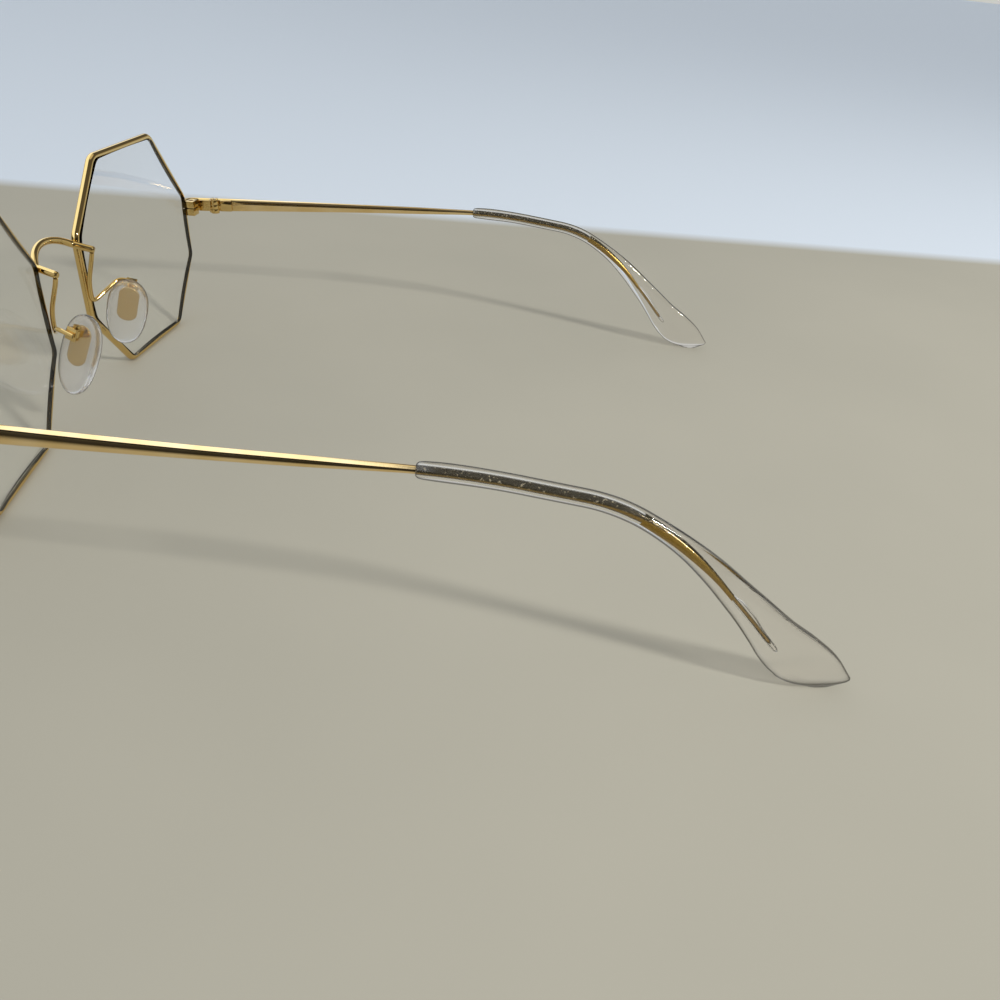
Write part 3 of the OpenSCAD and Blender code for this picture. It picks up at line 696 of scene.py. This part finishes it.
def rimTree():
    tree = bpy.data.node_groups.new("rimSweep", "GeometryNodeTree")
    for name, kind in (("Path", "Geometry"), ("Section", "Object"), ("Corner Radius", "Float"),
                       ("Corner Steps", "Int"), ("Metal", "Material")):
        tree.interface.new_socket(name=name, in_out="INPUT", socket_type="NodeSocket" + kind)
    tree.interface.new_socket(name="Rim", in_out="OUTPUT", socket_type="NodeSocketGeometry")
    graph = Graph(tree)
    given = graph.add("NodeGroupInput")
    path = graph.add("GeometryNodeMeshToCurve", None, {0: given["Path"]})["Curve"]
    path = graph.add("GeometryNodeFilletCurve", {"mode": "POLY"}, {
        "Curve": path, "Count": given["Corner Steps"], "Radius": given["Corner Radius"],
    })["Curve"]
    path = graph.add("GeometryNodeSetCurveNormal", {"mode": "Z_UP"}, {"Curve": path})["Curve"]
    section = graph.add("GeometryNodeObjectInfo", None, {"Object": given["Section"]})["Geometry"]
    section = graph.add("GeometryNodeMeshToCurve", None, {0: section})["Curve"]
    rim = graph.add("GeometryNodeCurveToMesh", None, {
        "Curve": path, "Profile Curve": section, "Fill Caps": True,
    })["Mesh"]
    graph.add("NodeGroupOutput", None, {"Rim": dressed(graph, rim, given["Metal"])})
    return tree


eyeTurn = Matrix.Rotation(wrapAngle, 4, "Z") @ Matrix.Rotation(math.pi / 2, 4, "X")
eyeMatrix = standing @ Matrix.Translation(Vector((eyeX, 0, 0)) * mm) @ eyeTurn


def fixNormals(mesh):
    shape = bmesh.new()
    shape.from_mesh(mesh)
    bmesh.ops.remove_doubles(shape, verts=shape.verts, dist=1e-7)
    bmesh.ops.recalc_face_normals(shape, faces=shape.faces)
    shape.to_mesh(mesh)
    shape.free()


def makeRims():
    slit, level = rimSizes["slit"], templeSizes["level"]
    side = rimSizes["lensWidth"] / 2
    first, last = (Vector((side, level + half)) for half in (slit / 2, -slit / 2))
    route = [first, corners[-1]] + corners[:-1] + [last]
    path = bpy.data.meshes.new("rimPath")
    steps = [(i, i + 1) for i in range(len(route) - 1)]
    path.from_pydata([(p.x * mm, p.y * mm, 0) for p in route], steps, [])
    section = bpy.data.meshes.new("rimSection")
    points = rimSection()
    edges = [(i, (i + 1) % len(points)) for i in range(len(points))]
    section.from_pydata([(x * mm, y * mm, 0) for x, y in points], edges, [])
    sectionObject = bpy.data.objects.new("rimSection", section)
    scene.collection.objects.link(sectionObject)
    mesh = grown("rim", path, rimTree(), {
        "Section": sectionObject, "Corner Radius": rimSizes["cornerRadius"] * mm,
        "Corner Steps": rimSizes["cornerSteps"], "Metal": gold,
    })
    bpy.data.objects.remove(sectionObject)
    mesh.transform(eyeMatrix)
    fixNormals(mesh)
    addPair("rim", mesh, gold, "front", "rim", "rim")


makeRims()
print("rims ready")


# Lenses

lensSizes = {
    "thickness": 1.9, "curve": 150, "bevel": 0.45, "bevelHalf": 0.53, "bevelInset": 0.05,
    "rings": 16, "cornerSteps": 6, "edgeStep": 1.6,
}


def makeLenses():
    curve, thick = lensSizes["curve"], lensSizes["thickness"]
    reach = rimSizes["lensWidth"] / 2
    front = curve - math.sqrt(curve ** 2 - reach ** 2) + thick / 2
    steps = lensSizes["cornerSteps"], lensSizes["edgeStep"]
    edge, ridge = (outlineLoop(out, *steps) for out in (0, lensSizes["bevel"]))
    count = len(edge)

    def surface(x, y, radius):
        return front - curve + math.sqrt(radius ** 2 - x * x - y * y)

    points, faces = [], []
    rings = lensSizes["rings"]

    def dome(radius):
        start = len(points)
        points.append((0, 0, surface(0, 0, radius)))
        for r in range(1, rings + 1):
            share = math.sin(r / rings * math.pi / 2) if r < rings else 1
            for p in edge:
                points.append((p.x * share, p.y * share, surface(p.x * share, p.y * share, radius)))
        for j in range(count):
            k = (j + 1) % count
            faces.append((start, start + 1 + j, start + 1 + k))
            for r in range(rings - 1):
                a = start + 1 + r * count
                faces.append((a + j, a + count + j, a + count + k, a + k))
        return start + 1 + (rings - 1) * count

    frontEdge = dome(curve)
    backEdge = dome(curve - thick)
    half, inset = lensSizes["bevelHalf"], lensSizes["bevelInset"]
    levels = (
        lambda q: min(half, surface(q.x, q.y, curve) - inset), lambda q: 0.0,
        lambda q: max(-half, surface(q.x, q.y, curve - thick) + inset),
    )
    belt = [frontEdge]
    for loop, level in zip((edge, ridge, edge), levels):
        belt.append(len(points))
        points.extend((p.x, p.y, level(q)) for p, q in zip(loop, edge))
    belt.append(backEdge)
    for a, b in zip(belt, belt[1:]):
        for j in range(count):
            k = (j + 1) % count
            faces.append((a + j, a + k, b + k, b + j))
    mesh = bpy.data.meshes.new("lens")
    mesh.from_pydata([tuple(v * mm for v in p) for p in points], [], faces)
    mesh.transform(eyeMatrix)
    fixNormals(mesh)
    addPair("lens", mesh, lensGlass, "front", "lens", "lens")


makeLenses()
print("lenses ready")


# Bridge and pad arms

bridgeSizes = {
    "wire": 1.5, "rise": 3.2, "lean": 41, "level": 8.5, "stub": 4.6, "stubWay": (0.12, 0.96, -0.26),
    "archSteps": 32, "footRun": 0.9, "footTrim": 0.85, "footSteps": 8, "endShare": 0.72, "endRun": 0.08,
    "step": 0.22, "sides": 24,
}
padSizes = {
    "length": 17, "width": 8.6, "thickness": 3, "middle": (12.4, 4.4, -7.8),
    "frontal": 10, "pitch": 20, "splay": 16, "seat": 0.02,
    "screw": 0.8, "bossWall": 0.45, "bossOut": 0.55, "boxLevel": 5.1,
    "boxGap": 0.2, "boxWall": 0.45, "boxWidth": 2.2,
}
armSizes = {
    "wire": 0.95, "drop": 1.3, "level": -0.46, "aside": 0.1, "low": -4.6, "behind": 0.75,
    "before": 1.6, "short": 0.2, "trims": (0.8, 2.4, 1.4, 1.2), "bendSteps": 10, "step": 0.2, "sides": 18,
}
stubWay = Vector(bridgeSizes["stubWay"]).normalized()
padTurn = Matrix.Rotation(math.radians(-padSizes["pitch"]), 4, "X") \
    @ Matrix.Rotation(math.radians(-padSizes["frontal"]), 4, "Y") \
    @ Matrix.Rotation(math.radians(-padSizes["splay"]), 4, "Z")


def fromPad(p):
    return Vector(padSizes["middle"]) + padTurn @ Vector(p)


def bridgeFoot():
    turn = wrapAngle + math.atan2(stubWay.x, stubWay.y)
    flat = rimSizes["flatShare"] * rimSizes["thickness"]
    half = rimSizes["depth"] / 2
    side = math.hypot((rimSizes["thickness"] - flat) * math.cos(turn), half * math.sin(turn))
    out = rimSizes["inner"] + flat + (side + bridgeSizes["wire"] / 2 + padSizes["seat"]) / math.cos(turn)
    return eyePoint(-rimSizes["lensWidth"] / 2 - out, 0, bridgeSizes["level"])


def makeBridge():
    foot = bridgeFoot()
    radius = (foot.x ** 2 + bridgeSizes["rise"] ** 2) / (2 * bridgeSizes["rise"])
    half = math.asin(foot.x / radius)
    lean = math.radians(bridgeSizes["lean"])
    rise = Vector((0, -math.sin(lean), math.cos(lean)))
    arch = []
    for k in range(bridgeSizes["archSteps"] + 1):
        a = (2 * k / bridgeSizes["archSteps"] - 1) * half
        above = radius * (math.cos(a) - math.cos(half))
        arch.append(Vector((radius * math.sin(a), foot.y, foot.z)) + rise * above)
    stubEnd = foot + stubWay * bridgeSizes["stub"]
    inner = [p for p in arch if abs(p.x) < foot.x - bridgeSizes["footRun"]]
    bend = roundedPath([inner[-1], foot, stubEnd], [bridgeSizes["footTrim"]], bridgeSizes["footSteps"])
    path = [Vector((-p.x, p.y, p.z)) for p in reversed(bend)] + inner[1:-1] + bend
    # The wire's ends are rounded off over a short run
    wire = bridgeSizes["wire"]
    last, run = wire * bridgeSizes["endShare"], bridgeSizes["endRun"]
    full = [path[0].lerp(path[1], run)] + path[1:-1] + [path[-1].lerp(path[-2], run)]
    stations = [(p, wire, wire, 2) for p in full]
    stations = [(path[0], last, last, 2)] + stations + [(path[-1], last, last, 2)]
    mesh = sweptWire("bridge", stations, bridgeSizes["step"], bridgeSizes["sides"], (0, -0.5, 1))
    addPiece("bridgeWire", mesh, gold, "front", "bridge", sharpFrom["bridge"])
    return stubEnd


stubEnd = makeBridge()
bossRadius = padSizes["screw"] / 2 + padSizes["bossWall"]
axisX = padSizes["thickness"] / 2 + bossRadius + padSizes["bossOut"]
wallX = axisX + bossRadius + padSizes["boxGap"]


def makePadArms():
    arm, seat = armSizes["wire"], padSizes["seat"]
    down = -(stubWay.cross(Vector((0, 0, 1))).cross(stubWay)).normalized()
    start = stubEnd - stubWay * arm / 2 + down * (bridgeSizes["wire"] / 2 + seat)
    out = rimSizes["lensWidth"] / 2 + armSizes["behind"] * rimOut
    rimBack = eyePoint(-out, rimSizes["depth"] / 2 + arm / 2 + seat, 0)
    armX = wallX + padSizes["boxWall"] + arm / 2 + seat
    half, boxLevel = padSizes["boxWidth"] / 2, padSizes["boxLevel"]
    points = [
        start, start + down * armSizes["drop"],
        (rimBack.x - armSizes["aside"], rimBack.y, armSizes["level"]),
        (rimBack.x, rimBack.y, armSizes["low"]),
        fromPad((armX, -half - armSizes["before"], boxLevel)),
        fromPad((armX, half - armSizes["short"], boxLevel)),
    ]
    path = roundedPath(points, armSizes["trims"], armSizes["bendSteps"])
    stations = [(p, arm, arm, 2) for p in path]
    mesh = sweptWire("padArm", stations, armSizes["step"], armSizes["sides"], (1, 0, 0))
    addPair("padArm", mesh, gold, "front", "pad_arm", "bridge")


makePadArms()
print("bridge and pad arms ready")


# End pieces and temples

def sideView(distance):
    y = z = 0.0
    angle = math.radians(templeSizes["rise"])
    for i, (whole, bend) in enumerate(templeSizes["stretches"]):
        part = distance if i == len(templeSizes["stretches"]) - 1 else min(distance, whole)
        turn = math.radians(bend * part / whole)
        chord = part if turn < 1e-4 else part * math.sin(turn / 2) / (turn / 2)
        y += chord * math.cos(angle - turn / 2)
        z += chord * math.sin(angle - turn / 2)
        angle -= turn
        distance -= part
        if distance <= 0:
            break
    return y, z, angle


def templeLine(distance):
    y, z, angle = sideView(distance)
    bow = templeSizes["bowRadius"]
    point = Vector((lineX - y * y / (2 * bow), y, z))
    way = Vector((-y / bow, math.cos(angle), math.sin(angle))).normalized()
    return point, way


coreSizes = {
    "width": 1.15, "height": 1.3, "length": 64.5,
    "taperLength": 22, "tail": (0.75, 0.85), "end": (0.3, 0.32),
}
wireMesh = {"stationGap": 0.8, "step": 0.25, "sides": 32, "endShare": (0.86, 0.93), "endSquare": 2.8}
tipStart = 69.5
coreEnd = tipStart + coreSizes["length"]
coreWide = coreEnd - coreSizes["taperLength"]


def makeTemples():
    h, t = templeSizes["height"], templeSizes["thickness"]
    width, height, tail = coreSizes["width"], coreSizes["height"], coreSizes["tail"]
    thinner, lower = wireMesh["endShare"]
    # Rows along the wire: distance from the hinge, width, height, squareness
    rows = [
        (0.05, thinner * t, lower * h, wireMesh["endSquare"]), (0.25, t, h, 3), (5, t, 0.97 * h, 2.8),
        (tipStart * 0.2, 0.96 * t, 0.88 * h, 2.6), (tipStart * 0.34, 0.93 * t, 0.8 * h, 2.4),
        (tipStart * 0.55, 0.88 * t, 0.665 * h, 2.3), (tipStart * 0.76, 0.82 * t, 0.56 * h, 2.2),
        (tipStart - 4, width, height + 0.1, 2), (tipStart, width, height, 2), (coreWide, width, height, 2),
        (coreWide + 10, *tail, 2), (coreEnd - 0.6, *tail, 2), (coreEnd, *coreSizes["end"], 2),
    ]
    spots = [0.05, 0.12] + [0.25 + wireMesh["stationGap"] * k for k in range(168)]
    spots += [coreEnd - 0.6, coreEnd - 0.3, coreEnd - 0.1, coreEnd]
    stations = []
    for spot in sorted(s for s in set(spots) if s <= coreEnd):
        wide, tall, square = between(rows, spot)
        stations.append((fromHinge(templeLine(spot)[0]), wide, tall, max(2.0, square)))
    mesh = sweptWire("temple", stations, wireMesh["step"], wireMesh["sides"])
    addPair("temple", mesh, gold, "temple", "temple", "temple")


endPieceSizes = {
    "lessDeep": 0.1, "taller": 0.5, "seat": 0.02, "cornerBack": 0.1, "cornerTrim": 2.9,
    "cornerSteps": 20, "square": 4, "change": 1.2, "endRun": 0.06, "step": 0.2,
}


def makeEndPieces():
    sizes = endPieceSizes
    depth, tall = rimSizes["depth"] - sizes["lessDeep"], templeSizes["height"] + sizes["taller"]
    points = [
        eyePoint(rimSizes["lensWidth"] / 2 + rimOut + sizes["seat"], 0, templeSizes["level"]),
        fromHinge((lineX, -templeSizes["reachBack"] - sizes["cornerBack"], 0)),
        fromHinge((lineX, -templeSizes["gap"], 0)),
    ]
    path = roundedPath(points, [sizes["cornerTrim"]], sizes["cornerSteps"])
    last = len(path) - 1
    stations = []
    for i, p in enumerate(path):
        # From the rim's section to the temple's
        t = (i / last) ** sizes["change"]
        width = depth + (templeSizes["thickness"] - depth) * t
        height = tall + (templeSizes["height"] - tall) * t
        stations.append([p, width, height, sizes["square"] - t])
    thinner, lower = wireMesh["endShare"]
    stations.append([path[-1], thinner * stations[-1][1], lower * stations[-1][2], wireMesh["endSquare"]])
    stations[-2][0] = path[-1].lerp(path[-2], sizes["endRun"])
    mesh = sweptWire("endPiece", stations, sizes["step"], wireMesh["sides"])
    addPair("endPiece", mesh, gold, "front", "endpiece", "temple")


makeTemples()
makeEndPieces()
print("temples and end pieces ready")


# Clear tips

# Rows along the tip: distance from its front, thickness, height, shift of the middle, slant, squareness
tipRows = [
    (0, 1.95, 1.8, 0, 0, 2), (0.12, 2.2, 2.1, 0, 0, 2), (0.35, 2.46, 2.45, 0, 0, 2),
    (1.5, 2.72, 2.76, 0, 0, 2), (5, 2.8, 2.96, 0, 0, 2), (12, 2.8, 2.85, 0, 0, 2),
    (25, 2.8, 2.85, 0, 0, 2), (30, 2.8, 2.94, 0, 0, 2), (34, 2.8, 2.94, 0, 0, 2),
    (37.5, 2.8, 3.08, 0.03, 0, 2.1), (41, 2.8, 3.4, 0.1, 0, 2.2), (46.5, 2.8, 4.23, 0.25, 0, 2.4),
    (52, 2.8, 5.1, 0.55, 2, 2.7), (57.5, 2.8, 6.16, 0.93, 6, 3.1), (62.8, 2.8, 7.63, 1.18, 14, 3.5),
    (67.2, 2.74, 9.93, 1.62, 24, 3.7), (71.3, 2.4, 11.86, 1.93, 34, 3.7), (74.7, 2.3, 12.6, 1.85, 43, 3.5),
    (76.2, 1.92, 10.2, 1.98, 40, 3.2), (77.1, 1.3, 7.17, 2.08, 38, 2.8), (77.65, 0.5, 3.55, 1.55, 40, 2.4),
]
tipLength = tipRows[-1][0]
tipMesh = {"ringGap": 0.8, "sides": 48}
# Rows along the hole round the core: distance from the tip's front, width, height, lift
holeRows = [
    (0, 1.31, 1.46, 0), (31, 1.31, 1.46, 0), (34, 1.09, 1.24, 0), (42.5, 1.09, 1.24, 0),
    (48, 0.89, 1.02, 0), (52.5, 0.7, 0.8, 0), (55, 1.0, 1.35, 0.22), (58, 0.98, 1.35, 0.24),
    (61, 0.92, 1.1, 0.08), (64.5, 0.9, 1.0, 0), (66, 0.66, 0.74, 0), (66.4, 0.3, 0.34, 0),
]


def crossRing(distance, width, height, shift, slant, square, count):
    point, way = templeLine(distance)
    across = way.cross(Vector((0, 0, 1))).normalized()
    up = across.cross(way)
    slant = math.radians(slant)
    tilted = up * math.cos(slant) + way * math.sin(slant)
    middle = point + up * shift
    oval = ovalPoints(width, height, square, count)
    return [place(fromHinge(middle + across * x + tilted * y)) for x, y in oval]


def makeTips():
    # One skin: from the blind end of the hole to the front, and on over the outside to the toe
    gap, sides = tipMesh["ringGap"], tipMesh["sides"]
    holeSpots = [66.4, 66.2, 66.0] + [65.6 - gap * k for k in range(82)] + [0]
    spots = [0, 0.04, 0.12, 0.22, 0.35, 0.7, 1.2] + [1.2 + gap * k for k in range(1, 94)]
    spots += [76.0, 76.4, 76.8, 77.1, 77.3, 77.5, tipLength]
    rings = []
    for spot in holeSpots:
        width, height, lifted = between(holeRows, spot)
        rings.append(crossRing(tipStart + spot, width, height, lifted, 0, 2, sides))
    for spot in sorted(spots):
        rings.append(crossRing(tipStart + spot, *between(tipRows, spot), sides))
    mesh = closedMesh("tip", rings)
    addPair("templeTip", mesh, tipResin, "temple", "temple_tip", "tip")


makeTips()
print("tips ready")


# Nose pads

padForm = {
    "curve": 2.4, "least": 0.02, "topWider": 0.06, "rimShare": 0.3, "thinBelow": 0.25,
    "square": 2.2, "rings": 34, "sides": 36,
}


def makePads():
    form = padForm
    rings = []
    for i in range(form["rings"] + 1):
        k = -math.cos(math.pi * i / form["rings"])  # from -1 at the lower end to 1 at the upper
        roundOff = max(form["least"], 1 - abs(k) ** form["curve"]) ** (1 / form["curve"])
        width = padSizes["width"] * roundOff * (1 + form["topWider"] * k)
        thick = padSizes["thickness"] * (form["rimShare"] + (1 - form["rimShare"]) * roundOff)
        if roundOff <= form["thinBelow"]:
            thick *= 1 - form["thinBelow"] + roundOff
        oval = ovalPoints(thick, width, form["square"], form["sides"])
        rings.append([place(fromPad((x, y, k * padSizes["length"] / 2))) for x, y in oval])
    mesh = closedMesh("nosePad", rings)
    addPair("nosePad", mesh, padSilicone, "pad", "nose_pad", "pad")


makePads()
print("nose pads ready")


# Small metal pieces: the solids, with their edges softened

# Node, and the width of the softened edge
smallPieces = {
    "closing_block_upper": 0.12, "closing_block_lower": 0.12, "rim_screw": 0.06, "front_hinge": 0.1,
    "temple_hinge": 0.1, "hinge_screw": 0.07, "pad_box": 0.08, "pad_screw": 0.05, "pad_insert": 0.08,
}


softening = {"merge": 2e-6, "flat": 1.5, "sharp": 35, "segments": 2, "profile": 0.6}


def softened(node, width):
    mesh = frame["nodes"][node].data.copy()
    shape = bmesh.new()
    shape.from_mesh(mesh)
    bmesh.ops.remove_doubles(shape, verts=shape.verts, dist=softening["merge"])
    flat, sharp = math.radians(softening["flat"]), math.radians(softening["sharp"])
    bmesh.ops.dissolve_limit(shape, angle_limit=flat, verts=shape.verts, edges=shape.edges)
    edges = [e for e in shape.edges if len(e.link_faces) == 2 and e.calc_face_angle(0) > sharp]
    bmesh.ops.bevel(shape, geom=edges, offset=width * mm, segments=softening["segments"],
                    profile=softening["profile"], affect="EDGES", clamp_overlap=True, offset_type="OFFSET")
    bmesh.ops.triangulate(shape, faces=[f for f in shape.faces if len(f.verts) > 4])
    shape.to_mesh(mesh)
    shape.free()
    return mesh


def makeSmallPieces():
    bodies = frame["record"]["behaviour"]["bodies"]
    owner = {node: body for body, nodes in bodies.items() for node in nodes}
    for stem, width in smallPieces.items():
        for side in ("left", "right"):
            node = stem + "_" + side
            words = stem.split("_")
            name = words[0] + "".join(w.capitalize() for w in words[1:]) + side.capitalize()
            addPiece(name, softened(node, width), gold, owner[node], node, sharpFrom["small"])


makeSmallPieces()
print("small metal pieces ready")
